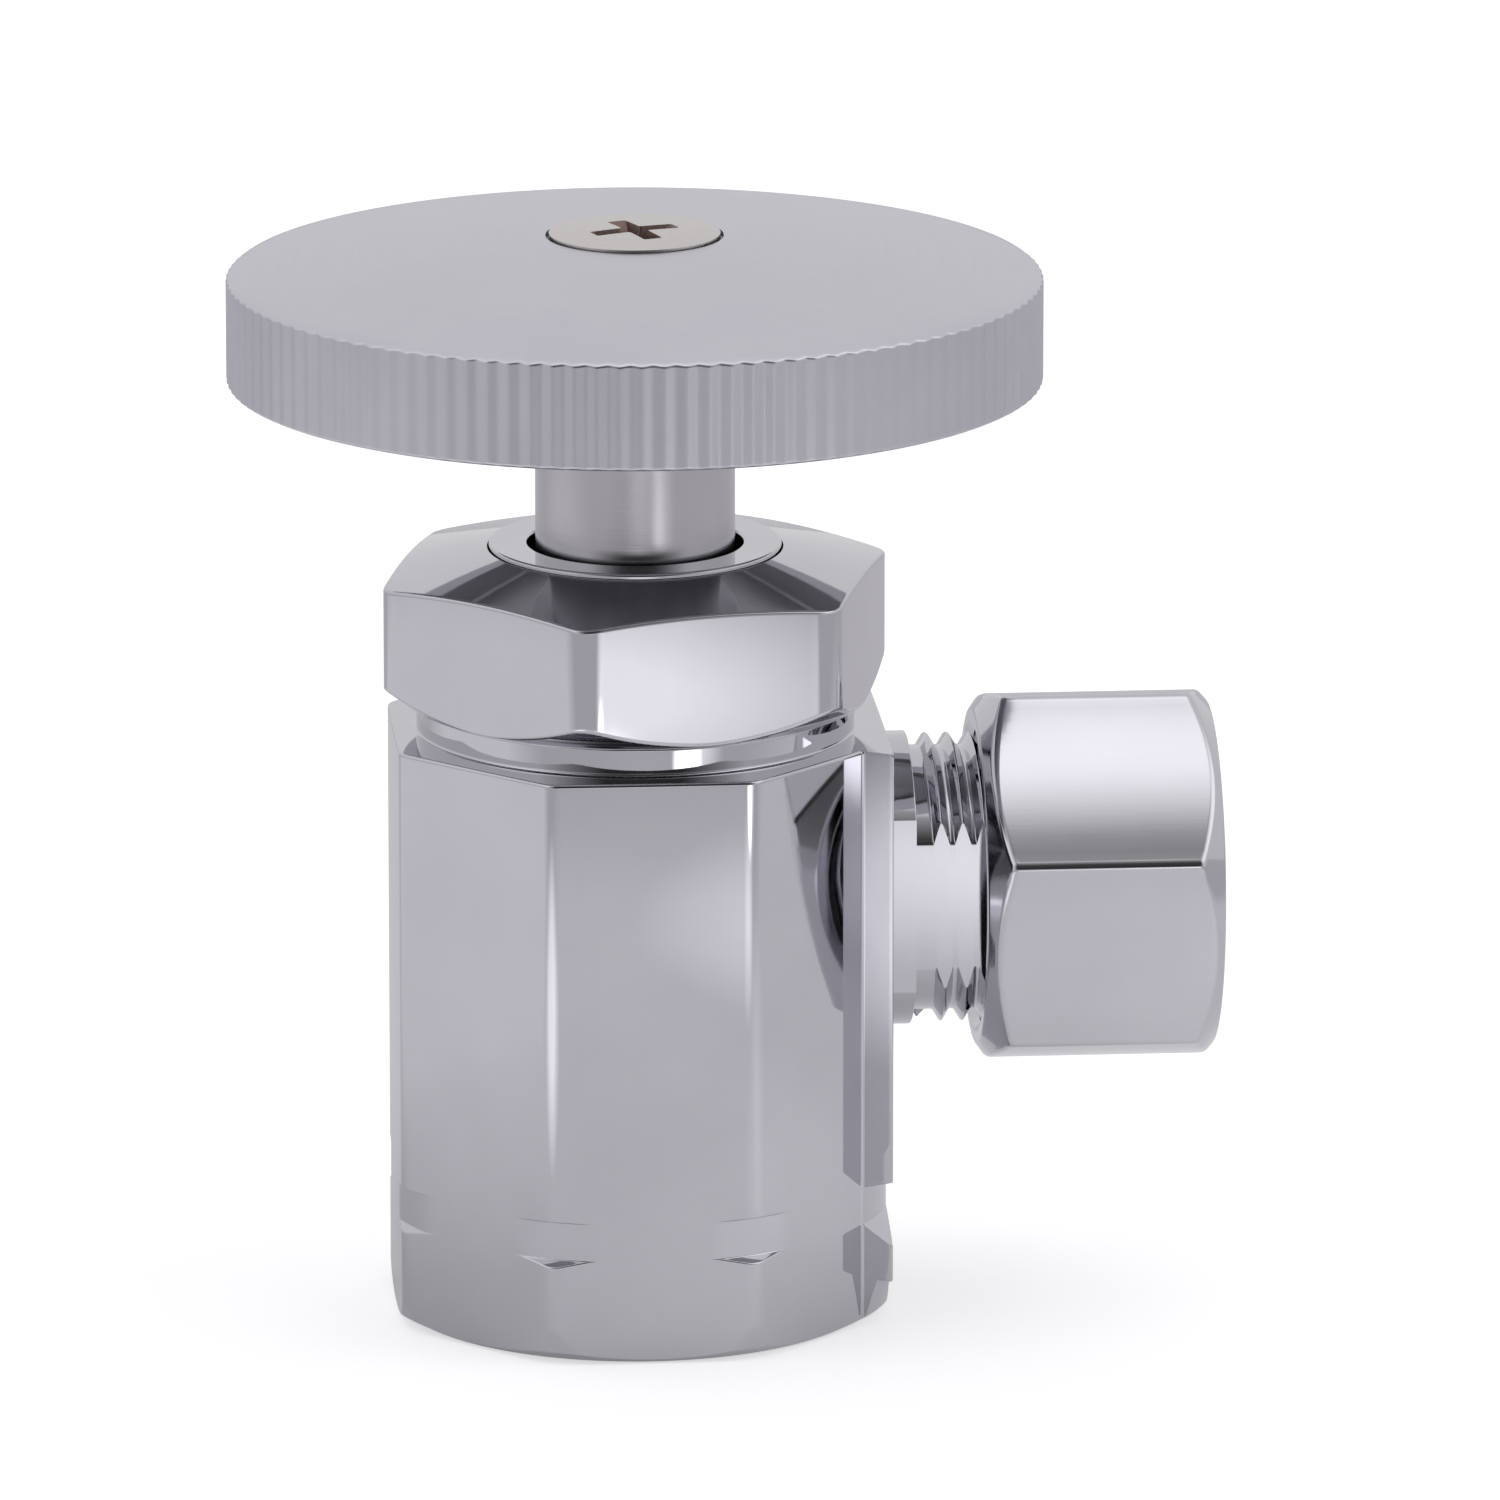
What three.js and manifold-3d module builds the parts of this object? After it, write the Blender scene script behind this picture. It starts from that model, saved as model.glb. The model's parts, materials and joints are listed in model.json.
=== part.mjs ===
// Angle stop valve: octagonal body, hexagon bonnet, hand wheel and compression outlet.
// Millimetres, +Z up along the stem. The origin is on the stem's axis in the face of the inlet.
// The valve stands open: the stem is at the top of its travel.

import * as THREE from 'three';
import { mergeVertices } from 'three/addons/utils/BufferGeometryUtils.js';
import Module from 'manifold-3d';

const wasm = await Module();
wasm.setup();

// ---------------------------------------------------------------- driving dimensions

// Fits that every piece shares.
const faceGap = 0.1;            // between faces that rest on each other
const slip = 0.08;              // radial clearance of a fit that is assembled once
const threadGap = 0.2;          // radial clearance over a thread's crests
const over = 1;                 // how far a cutter or a joined root reaches past a face

// Inlet: female pipe thread, half inch nominal, 14 threads to the inch.
const inletMinorRadius = 9.4;
const inletThreadDepth = 0.9;
const inletPitch = 25.4 / 14;
const inletThreads = 6;
const inletLength = 12.5;
const inletFlare = 1.3;         // the mouth's chamfer

// Body: an octagon bar turned down to a neck.
const bodyWall = 2.75;          // from the inlet's bore to a flat
const bodyHeight = 29.3;
const bodyBackCut = 0.2;        // the flat opposite the outlet lies this much further in
const neckShoulder = 1.35;      // from a flat in to the neck
const neckHeight = 1.45;
const lugMargin = 0.1;          // the lug's face past the outlet neck, each side
const lugFlare = 0.85;          // the lug's root is this much narrower, each side
const grooveStep = 0.4;         // from a flat out to the floor of the ring groove
const grooveBottom = 4.9;
const grooveTop = 7.3;
const grooveUpperSlope = THREE.MathUtils.degToRad(15);
const grooveLowerSlope = THREE.MathUtils.degToRad(30);
const footStep = 0.4;           // from a flat in to the foot's bearing edge
const footTaper = 1;            // radial width of the foot's lower taper
const footTaperStart = 0.55;
const footUpperTaper = 0.5;
const footTaperTop = 2.5;

// Seat and chamber.
const webThickness = 3;
const seatShare = 0.5;          // of the chamber's radius
const seatLand = 1.2;
const seatCrown = 0.6;
const skirtWall = 2.2;          // from the bonnet's skirt to the outside of the body's neck
const chamberStep = 0.6;        // from the skirt in to the chamber

// Outlet: 9/16 inch male thread, 24 to the inch, for a 3/8 inch tube.
const tubeRadius = 9.525 / 2;
const tubeSocketLength = 6;
const outletHeight = 21.2;
const outletReach = 10.35;      // from the lug's face
const outletWall = 2.3825;      // from the tube to the thread's crests
const outletNeckStep = 0.105;   // from the thread's crests out to the plain neck
const outletNeckLength = 1.25;
const outletFlatWall = 0.9475;  // from the tube's bore to the flats on the neck's sides
const outletFlatHidden = 1;     // how far the flats run on under the nut
const outletThreadDepth = 0.6;
const outletPitch = 25.4 / 24;
const outletLip = 0.445;        // from the mouth to the thread's root
const waterwayStep = 1.1625;    // from the tube in to the waterway

// Compression nut and ferrule.
const nutGrip = 5.8;            // length of thread that the nut is screwed onto
const nutLength = 11.7;
const nutWall = 1.505;          // from the thread's crests to a flat
const nutCornerTurn = THREE.MathUtils.degToRad(13.5);
const nutInnerStep = 0.35;      // from a flat in to the inner face
const nutOuterStep = 0.15;
const nutInnerSlope = THREE.MathUtils.degToRad(36);
const nutOuterSlope = THREE.MathUtils.degToRad(41.5);
const nutCounterbore = 8.2;     // depth of the threaded bore
const nutConeLength = 1.5;
const ferruleWall = 1.1375;
const ferruleEndWall = 0.2875;
const ferruleLength = 4.3;
const ferruleFront = 1.15;      // length of the tapered end in the outlet's mouth
const ferruleBack = 0.95;
const ferruleSeat = 0.9;        // how far it reaches into the mouth
const ferruleRoom = 0.4;

// Stem and its seals.
const stemRadius = 4.91;
const stemThreadStep = 0.99;    // from the stem's barrel out to its thread's crests
const stemThreadDepth = 0.7;
const stemPitch = 2;
const stemThreads = 3;
const stemRise = 6.3;           // from the bonnet's top to the shoulder under the handle's hub
const splineStep = 1.01;        // from the stem's barrel in to the spline's crests
const splineDepth = 0.4;
const splineTeeth = 18;
const splineLength = 6;
const bushGap = 0.41;           // the gap that shows round the stem
const bushWall = 1.88;
const bushProud = 0.25;
const bushLength = 3.3;
const bushEdge = 0.1;
const packingLength = 2.6;
const packingGroove = 0.4;
const packingWasherThickness = 0.8;

// Bonnet.
const bonnetAcrossFlats = 22.8;
const bonnetHexHeight = 7.45;
const bonnetCornerTurn = THREE.MathUtils.degToRad(14.7);
const bonnetLand = 0.02;        // flat ring round the gland's bore
const bonnetTopSlope = THREE.MathUtils.degToRad(12.3);
const bonnetFootSlope = THREE.MathUtils.degToRad(37);
const skirtLength = 5.65;
const glandFloor = 0.65;        // bonnet floor above its foot
const gasketWall = 1.1;         // radial width of the bonnet gasket
const gasketThickness = 0.9;

// Valve disc.
const lift = 4;                 // stem travel from open to closed
const discMargin = 0.4;         // the seat washer past the seat's land
const seatWasherThickness = 2.6;
const seatWasherProud = 0.8;
const holderWall = 0.9;
const holderWeb = 1.7;
const shankRadius = 2.4;
const shankLength = 3.2;
const clipSeat = 1.44;          // the clip's groove above the holder's cup
const clipThickness = 0.7;
const clipDepth = 0.5;
const socketWall = 0.35;        // from the shank to its socket in the stem
const socketRoom = 0.2;
const discScrewRadius = 1.15;
const discScrewHeadHeight = 1.1;
const discScrewLength = 5.7;
const discScrewRoom = 0.5;
const discCupRoom = 1;          // between the cup and the seat's bore
const discCupWall = 0.7;        // the cup past the screw's head
const discCupThickness = 0.5;
const smallEdge = 0.3;
const slotWidth = 0.6;
const slotDepth = 0.55;

// Handle and its screw.
const handleRadius = 20;
const ribCount = 116;
const ribDepth = 0.36;
const rimRise = 2.05;           // from the stem's shoulder to the rim
const rimLength = 5.3;
const rimEdge = 0.35;
const rimWall = 2.8;
const crownRise = 2.05;
const crownSteps = 5;
const plateThickness = 1.85;    // at the rim, under the crown
const hubWall = 2.3;            // over the spline
const hubRoof = 0.5;            // room over the spline
const screwRadius = 2.05;
const screwHeadRadius = 4.2;
const screwHeadEdge = 0.35;
const screwHeadDome = 0.15;
const screwConeHeight = 2.1;
const screwLength = 9.6;        // below the top of the spline
const screwProud = 0.2;         // the head's top over the crown
const crossSpan = 4.4;
const crossWidth = 0.95;
const crossDepth = 1.5;
const crossTurn = THREE.MathUtils.degToRad(20.5);

// Facets of round surfaces.
const round = 40;
const coarse = 24;

// ---------------------------------------------------------------- derived places

const bodyFlat = inletMinorRadius + bodyWall;
const neckRadius = bodyFlat - neckShoulder;
const neckTop = bodyHeight + neckHeight;
const grooveRadius = bodyFlat + grooveStep;
const footRadius = bodyFlat - footStep;
const footTaperRadius = footRadius + footTaper;
const footTopRadius = footTaperRadius + footUpperTaper;
const webTop = inletLength + webThickness;
const seatTop = webTop + seatCrown;
const skirtRadius = neckRadius - skirtWall;
const skirtBoreRadius = skirtRadius + slip;
const chamberRadius = skirtRadius - chamberStep;
const seatRadius = chamberRadius * seatShare;

const outletLength = bodyFlat + outletReach;
const outletThreadRadius = tubeRadius + outletWall;
const outletThreadRoot = outletThreadRadius - outletThreadDepth;
const outletNeckRadius = outletThreadRadius + outletNeckStep;
const lugHalfWidth = outletNeckRadius + lugMargin;
const lugRootHalfWidth = lugHalfWidth - lugFlare;
const waterwayRadius = tubeRadius - waterwayStep;
const tubeBoreRadius = tubeRadius + slip;
const mouthRadius = outletThreadRoot - outletLip;
const outletFlat = tubeBoreRadius + outletFlatWall;

const nutFlat = outletThreadRadius + nutWall;
const nutStart = outletLength - nutGrip;
const nutEnd = nutStart + nutLength;
const ferruleStart = outletLength - ferruleSeat;
const ferruleRadius = tubeRadius + ferruleWall;

const stemThreadRadius = stemRadius + stemThreadStep;
const stemBoreRadius = stemThreadRadius + threadGap;
const splineRadius = stemRadius - splineStep;
const bushBore = stemRadius + bushGap;
const bushRadius = bushBore + bushWall;
const glandBoreRadius = bushRadius + slip;

const bonnetFoot = neckTop + faceGap;
const bonnetTop = bonnetFoot + bonnetHexHeight;
const bonnetFaceRadius = glandBoreRadius + bonnetLand;
const skirtBottom = bonnetFoot - skirtLength;
const glandBottom = bonnetFoot + glandFloor;
const packingWasherBottom = glandBottom + faceGap;
const packingBottom = packingWasherBottom + packingWasherThickness + faceGap;
const bushTop = bonnetTop + bushProud;

const seatWasherRadius = seatRadius + seatLand + discMargin;
const discBottom = seatTop + faceGap + lift;
const discTop = discBottom + seatWasherThickness;
const holderBottom = discBottom + seatWasherProud;
const holderCupTop = discTop + faceGap + holderWeb;
const holderRadius = seatWasherRadius + slip + holderWall;
const clipBottom = holderCupTop + clipSeat;
const socketRadius = shankRadius + socketWall;
const stemBottom = holderCupTop + 3 * faceGap;
const stemThreadTop = glandBottom - 5 * faceGap;
const stemShoulder = bonnetTop + stemRise;
const splineTop = stemShoulder + splineLength;
const discCupRadius = seatRadius - discCupRoom;
const discScrewHead = discCupRadius - discCupWall;

const hubRadius = splineRadius + hubWall;
const rimBottom = stemShoulder + rimRise;
const rimTop = rimBottom + rimLength;
const plateBottom = rimTop - plateThickness;
const screwTop = rimTop + crownRise + screwProud;

// ---------------------------------------------------------------- solids

// Keeps merged positions only, and drops the triangles that the merge made flat.
function closedMesh(geometry) {
  const bare = geometry.clone();
  bare.deleteAttribute('normal');
  bare.deleteAttribute('uv');
  const merged = mergeVertices(bare, 1e-5);
  const corners = merged.index.array;
  const kept = [];
  for (let i = 0; i < corners.length; i += 3) {
    const [a, b, c] = corners.slice(i, i + 3);
    if (a !== b && b !== c && c !== a) kept.push(a, b, c);
  }
  merged.setIndex(kept);
  return merged;
}

function solidOf(geometry) {
  const mesh = closedMesh(geometry);
  return new wasm.Manifold(new wasm.Mesh({
    numProp: 3,
    vertProperties: new Float32Array(mesh.attributes.position.array),
    triVerts: new Uint32Array(mesh.index.array),
  }));
}

function geometryOf(solid) {
  const mesh = solid.getMesh();
  const geometry = new THREE.BufferGeometry();
  geometry.setAttribute('position', new THREE.BufferAttribute(mesh.vertProperties, 3));
  geometry.setIndex(new THREE.BufferAttribute(mesh.triVerts, 1));
  return geometry;
}

const join = (first, ...others) =>
  geometryOf(others.reduce((solid, other) => solid.add(solidOf(other)), solidOf(first)));

const cut = (first, ...others) =>
  geometryOf(others.reduce((solid, other) => solid.subtract(solidOf(other)), solidOf(first)));

const common = (first, ...others) =>
  geometryOf(others.reduce((solid, other) => solid.intersect(solidOf(other)), solidOf(first)));

// Turns an outline of [radius, height] pairs about Z. It runs from axis to axis or closes itself.
function revolve(outline, facets = round) {
  const points = outline.map(([radius, height]) => new THREE.Vector2(radius, height));
  if (THREE.ShapeUtils.area(points) < 0) points.reverse();
  const onAxis = points[0].x === 0 && points.at(-1).x === 0;
  if (!onAxis) points.push(points[0].clone());
  return new THREE.LatheGeometry(points, facets).rotateX(Math.PI / 2);
}

// Lays a piece that was made along Z onto the outlet's axis.
const alongOutlet = (geometry) => geometry.rotateY(Math.PI / 2).translate(0, 0, outletHeight);

const rod = (radius, bottom, top, facets = round) =>
  revolve([[0, bottom], [radius, bottom], [radius, top], [0, top]], facets);

const ring = (inner, outer, bottom, top, facets = round) =>
  revolve([[inner, bottom], [outer, bottom], [outer, top], [inner, top]], facets);

// Extrudes an outline of [x, y] pairs from bottom to top.
function prism(outline, bottom, top) {
  const shape = new THREE.Shape(outline.map(([x, y]) => new THREE.Vector2(x, y)));
  const options = { depth: top - bottom, bevelEnabled: false };
  return new THREE.ExtrudeGeometry(shape, options).translate(0, 0, bottom);
}

const polar = (radius, angle) => [radius * Math.cos(angle), radius * Math.sin(angle)];

// A regular bar's corners, the first of them at the angle turn.
function barOutline(sides, acrossFlats, turn) {
  const cornerRadius = acrossFlats / 2 / Math.cos(Math.PI / sides);
  return Array.from({ length: sides }, (_, i) =>
    polar(cornerRadius, turn + (2 * Math.PI * i) / sides));
}

// Outline points of a V thread that starts and ends at its root.
function threadOutline(start, pitch, turns, root, crest) {
  const points = [[root, start]];
  for (let i = 0; i < turns; i += 1) {
    points.push([crest, start + (i + 0.5) * pitch], [root, start + (i + 1) * pitch]);
  }
  return points;
}

// A gear-like outline whose points change between the crest and the root radius.
function toothOutline(teeth, crest, root) {
  return Array.from({ length: 2 * teeth }, (_, i) =>
    polar(i % 2 ? root : crest, (Math.PI * i) / teeth));
}

// ---------------------------------------------------------------- body

// Octagon whose flat behind the outlet is widened into a lug by the flats beside it.
function bodyOutline() {
  const flatSum = bodyFlat * Math.SQRT2;                  // x + y on the flats beside the outlet
  const side = bodyFlat * Math.tan(Math.PI / 8);
  const lugRoot = flatSum - lugRootHalfWidth;
  const backFlat = bodyFlat - bodyBackCut;
  const half = [
    [bodyFlat, lugHalfWidth],
    [lugRoot, lugRootHalfWidth],
    [side, bodyFlat],
    [-side, bodyFlat],
    [-backFlat, flatSum - backFlat],
  ];
  return [...half, ...half.map(([x, y]) => [x, -y]).reverse()];
}

function bodyBar() {
  const beyond = 4 * bodyFlat;                            // past every corner
  const bar = prism(bodyOutline(), 0, bodyHeight);
  const foot = revolve([
    [0, 0],
    [footRadius, 0],
    [footTaperRadius, footTaperStart],
    [footTopRadius, footTaperTop],
    [beyond, footTaperTop + over],
    [beyond, bodyHeight + over],
    [0, bodyHeight + over],
  ]);
  const reach = Math.hypot(bodyFlat, lugHalfWidth) - grooveRadius + over;
  const cornerDepth = bodyFlat / Math.cos(Math.PI / 8) - grooveRadius;
  const past = reach - cornerDepth;
  const groove = revolve([
    [grooveRadius, grooveBottom + cornerDepth * Math.tan(grooveLowerSlope)],
    [grooveRadius + reach, grooveBottom - past * Math.tan(grooveLowerSlope)],
    [grooveRadius + reach, grooveTop + past * Math.tan(grooveUpperSlope)],
    [grooveRadius, grooveTop - cornerDepth * Math.tan(grooveUpperSlope)],
  ]);
  return cut(common(bar, foot), groove);
}

function outletNeck() {
  const neckEnd = bodyFlat + outletNeckLength;
  const turns = Math.floor((outletLength - neckEnd) / outletPitch);
  const neck = alongOutlet(revolve([
    [0, bodyFlat - faceGap],
    [outletNeckRadius, bodyFlat - faceGap],
    [outletNeckRadius, neckEnd],
    ...threadOutline(neckEnd, outletPitch, turns, outletThreadRoot, outletThreadRadius),
    [outletThreadRoot, outletLength],
    [0, outletLength],
  ]));
  return cut(neck, outletSideCutter(1), outletSideCutter(-1));
}

// Cuts a flat along one side of the outlet's neck, from the lug to just under the nut.
function outletSideCutter(side) {
  const start = bodyFlat - faceGap - over;
  const end = nutStart + outletFlatHidden;
  const reach = outletNeckRadius + over;
  const outline = [
    [start, outletFlat * side],
    [end, outletFlat * side],
    [end, reach * side],
    [start, reach * side],
  ];
  return prism(outline, outletHeight - reach, outletHeight + reach);
}

function outletWaterway() {
  const mouthDepth = mouthRadius - tubeBoreRadius;
  const socketEnd = outletLength - tubeSocketLength;
  return alongOutlet(revolve([
    [0, 0],
    [waterwayRadius, 0],
    [waterwayRadius, socketEnd],
    [tubeBoreRadius, socketEnd],
    [tubeBoreRadius, outletLength - mouthDepth],
    [mouthRadius, outletLength],
    [mouthRadius, outletLength + over],
    [0, outletLength + over],
  ], coarse));
}

function inletBore() {
  const major = inletMinorRadius + inletThreadDepth;
  const mouth = inletMinorRadius + inletFlare;
  const thread = threadOutline(inletFlare, inletPitch, inletThreads, inletMinorRadius, major);
  return revolve([
    [0, -over],
    [mouth, -over],
    [mouth, 0],
    ...thread,
    [inletMinorRadius, inletLength],
    [0, inletLength],
  ]);
}

function chamber() {
  return revolve([
    [0, inletLength - over],
    [seatRadius, inletLength - over],
    [seatRadius, seatTop],
    [seatRadius + seatLand, seatTop],
    [seatRadius + seatLand + seatCrown, webTop],
    [chamberRadius, webTop],
    [chamberRadius, skirtBottom - 2 * faceGap],
    [skirtBoreRadius, skirtBottom - 2 * faceGap],
    [skirtBoreRadius, neckTop - gasketThickness - faceGap],
    [skirtBoreRadius + gasketWall, neckTop - gasketThickness - faceGap],
    [skirtBoreRadius + gasketWall, neckTop + over],
    [0, neckTop + over],
  ]);
}

function bodyGeometry() {
  const neck = rod(neckRadius, bodyHeight - over, neckTop);
  const casting = join(bodyBar(), neck, outletNeck());
  return cut(casting, inletBore(), chamber(), outletWaterway());
}

// ---------------------------------------------------------------- bonnet and seals

function bonnetGeometry() {
  const bonnetFlat = bonnetAcrossFlats / 2;
  const beyond = bonnetAcrossFlats;                       // past the corners
  const bar = prism(barOutline(6, bonnetAcrossFlats, bonnetCornerTurn), bonnetFoot, bonnetTop);
  const ends = revolve([
    [0, bonnetFoot],
    [bonnetFlat, bonnetFoot],
    [beyond, bonnetFoot + (beyond - bonnetFlat) * Math.tan(bonnetFootSlope)],
    [beyond, bonnetTop - (beyond - bonnetFaceRadius) * Math.tan(bonnetTopSlope)],
    [bonnetFaceRadius, bonnetTop],
    [0, bonnetTop],
  ]);
  const skirt = rod(skirtRadius, skirtBottom, bonnetFoot + over);
  const bore = revolve([
    [0, skirtBottom - over],
    [stemBoreRadius, skirtBottom - over],
    [stemBoreRadius, glandBottom],
    [glandBoreRadius, glandBottom],
    [glandBoreRadius, bonnetTop + over],
    [0, bonnetTop + over],
  ]);
  return cut(join(common(bar, ends), skirt), bore);
}

function bonnetGasketGeometry() {
  const inner = skirtRadius + slip;
  const outer = skirtBoreRadius + gasketWall - slip;
  return ring(inner, outer, neckTop - gasketThickness, neckTop - faceGap / 2);
}

const packingWasherGeometry = () =>
  ring(
    stemRadius + 2 * slip,
    glandBoreRadius - slip,
    packingWasherBottom,
    packingWasherBottom + packingWasherThickness,
    coarse,
  );

// A packing ring with a shallow groove in its upper face.
function packingRingGeometry() {
  const inner = stemRadius + slip;
  const outer = glandBoreRadius - slip;
  const top = packingBottom + packingLength;
  return revolve([
    [inner, packingBottom],
    [outer, packingBottom],
    [outer, top],
    [(inner + outer) / 2, top - packingGroove],
    [inner, top],
  ], coarse);
}

const glandBushGeometry = () =>
  revolve([
    [bushBore, bushTop - bushLength],
    [bushRadius, bushTop - bushLength],
    [bushRadius, bushTop - bushEdge],
    [bushRadius - bushEdge, bushTop],
    [bushBore, bushTop],
  ]);

// ---------------------------------------------------------------- stem

function stemGeometry() {
  const threadRoot = stemThreadRadius - stemThreadDepth;
  const threadLength = stemThreads * stemPitch;
  const threadStart = stemThreadTop - threadLength;
  const blank = revolve([
    [0, stemBottom],
    [threadRoot, stemBottom],
    ...threadOutline(threadStart, stemPitch, stemThreads, threadRoot, stemThreadRadius),
    [stemRadius, stemThreadTop],
    [stemRadius, stemShoulder],
    [0, stemShoulder],
  ]);
  const spline = prism(
    toothOutline(splineTeeth, splineRadius, splineRadius - splineDepth),
    stemShoulder - over,
    splineTop,
  );
  const socket = rod(socketRadius, stemBottom - over, holderCupTop + shankLength + socketRoom, coarse);
  const screwHole = rod(screwRadius + slip, splineTop - screwLength - over, splineTop + over, coarse);
  return cut(join(blank, spline), socket, screwHole);
}

// ---------------------------------------------------------------- valve disc

function discHolderGeometry() {
  const shank = revolve([
    [0, holderCupTop - over],
    [shankRadius, holderCupTop - over],
    [shankRadius, clipBottom],
    [shankRadius - clipDepth, clipBottom],
    [shankRadius - clipDepth, clipBottom + clipThickness + 2 * faceGap],
    [shankRadius, clipBottom + clipThickness + 2 * faceGap],
    [shankRadius, holderCupTop + shankLength],
    [0, holderCupTop + shankLength],
  ], coarse);
  const cup = rod(holderRadius, holderBottom, holderCupTop);
  const recess = rod(seatWasherRadius + slip, holderBottom - over, discTop + faceGap);
  const tapped = rod(
    discScrewRadius + slip,
    holderBottom,
    discBottom + discScrewLength + discScrewRoom,
    coarse,
  );
  return cut(join(cup, shank), recess, tapped);
}

const holderClipGeometry = () =>
  ring(
    shankRadius - clipDepth + slip,
    socketRadius - slip,
    clipBottom + faceGap,
    clipBottom + faceGap + clipThickness,
    coarse,
  );

const seatWasherGeometry = () =>
  ring(discScrewRadius + slip, seatWasherRadius, discBottom, discTop);

function washerCupGeometry() {
  const top = discBottom - faceGap;
  return revolve([
    [discScrewRadius + slip, top - discCupThickness],
    [discCupRadius - smallEdge, top - discCupThickness],
    [discCupRadius, top - discCupThickness + smallEdge],
    [discCupRadius, top],
    [discScrewRadius + slip, top],
  ], coarse);
}

function washerScrewGeometry() {
  const headTop = discBottom - discCupThickness - 2 * faceGap;
  const headBottom = headTop - discScrewHeadHeight;
  const blank = revolve([
    [0, headBottom],
    [discScrewHead - smallEdge, headBottom],
    [discScrewHead, headBottom + smallEdge],
    [discScrewHead, headTop],
    [discScrewRadius, headTop],
    [discScrewRadius, discBottom + discScrewLength],
    [0, discBottom + discScrewLength],
  ], coarse);
  const half = slotWidth / 2;
  const reach = discScrewHead + over;
  const slot = prism(
    [[-reach, -half], [reach, -half], [reach, half], [-reach, half]],
    headBottom - over,
    headBottom + slotDepth,
  );
  return cut(blank, slot);
}

// ---------------------------------------------------------------- handle

// Height of the handle's crowned face at a radius.
const crownHeight = (radius) => rimTop + crownRise * (1 - (radius / handleRadius) ** 2);

function handleBlank() {
  const beyond = handleRadius + over;
  const crown = [];
  for (let i = 0; i <= crownSteps; i += 1) {
    const radius = (handleRadius - rimEdge) * (1 - i / crownSteps);
    crown.push([radius, crownHeight(radius)]);
  }
  const envelope = revolve([
    [0, rimBottom],
    [handleRadius - rimEdge, rimBottom],
    [beyond, rimBottom + rimEdge + over],
    [beyond, rimTop - rimEdge - over],
    ...crown,
  ]);
  const ribs = prism(
    toothOutline(ribCount, handleRadius, handleRadius - ribDepth),
    rimBottom - over,
    rimTop + crownRise + over,
  );
  return common(ribs, envelope);
}

function handleGeometry() {
  const recess = rod(handleRadius - rimWall, rimBottom - over, plateBottom);
  const hub = rod(hubRadius, stemShoulder + faceGap, plateBottom + over);
  const spline = prism(
    toothOutline(splineTeeth, splineRadius + slip, splineRadius - splineDepth + slip),
    stemShoulder - over,
    splineTop + hubRoof,
  );
  const coneTop = screwTop - screwHeadDome - screwHeadEdge;
  const screwSeat = revolve([
    [0, splineTop],
    [screwRadius + threadGap, splineTop],
    [screwRadius + threadGap, coneTop - screwConeHeight - slip],
    [screwHeadRadius + 2 * slip, coneTop - slip],
    [screwHeadRadius + 2 * slip, screwTop + over],
    [0, screwTop + over],
  ], coarse);
  return cut(join(cut(handleBlank(), recess), hub), spline, screwSeat);
}

function handleScrewGeometry() {
  const rimHeight = screwTop - screwHeadDome;
  const coneTop = rimHeight - screwHeadEdge;
  const dome = [1, 0.8, 0.5, 0].map((share) =>
    [screwHeadRadius * share, rimHeight + screwHeadDome * (1 - share ** 2)]);
  const blank = revolve([
    [0, splineTop - screwLength],
    [screwRadius, splineTop - screwLength],
    [screwRadius, coneTop - screwConeHeight],
    [screwHeadRadius, coneTop],
    ...dome,
  ], coarse);
  const arm = (turn) => {
    const half = crossWidth / 2;
    const reach = crossSpan / 2;
    const bar = [[-reach, -half], [reach, -half], [reach, half], [-reach, half]];
    return prism(bar, screwTop - crossDepth, screwTop + over).rotateZ(turn);
  };
  return cut(blank, arm(crossTurn), arm(crossTurn + Math.PI / 2));
}

// ---------------------------------------------------------------- compression joint

function compressionNutGeometry() {
  const innerFace = nutFlat - nutInnerStep;
  const outerFace = nutFlat - nutOuterStep;
  const beyond = 1.2 * nutFlat;                           // past the corners
  const turn = Math.PI + nutCornerTurn;
  const bar = prism(barOutline(6, 2 * nutFlat, turn), nutStart, nutEnd);
  const ends = revolve([
    [0, nutStart],
    [innerFace, nutStart],
    [beyond, nutStart + (beyond - innerFace) * Math.tan(nutInnerSlope)],
    [beyond, nutEnd - (beyond - outerFace) * Math.tan(nutOuterSlope)],
    [outerFace, nutEnd],
    [0, nutEnd],
  ]);
  const counterboreEnd = nutStart + nutCounterbore;
  const bore = revolve([
    [0, nutStart - over],
    [outletThreadRadius + threadGap, nutStart - over],
    [outletThreadRadius + threadGap, counterboreEnd],
    [ferruleRadius + ferruleRoom, counterboreEnd],
    [tubeBoreRadius, counterboreEnd + nutConeLength],
    [tubeBoreRadius, nutEnd + over],
    [0, nutEnd + over],
  ]);
  return alongOutlet(cut(common(bar, ends), bore));
}

function ferruleGeometry() {
  const end = ferruleStart + ferruleLength;
  const endRadius = tubeRadius + ferruleEndWall;
  return alongOutlet(revolve([
    [tubeRadius + slip / 2, ferruleStart],
    [endRadius, ferruleStart],
    [ferruleRadius, ferruleStart + ferruleFront],
    [ferruleRadius, end - ferruleBack],
    [endRadius, end],
    [tubeRadius + slip / 2, end],
  ], coarse));
}

// ---------------------------------------------------------------- assembly

const finish = (color, roughness, metalness) =>
  new THREE.MeshStandardMaterial({ color, roughness, metalness });

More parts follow.
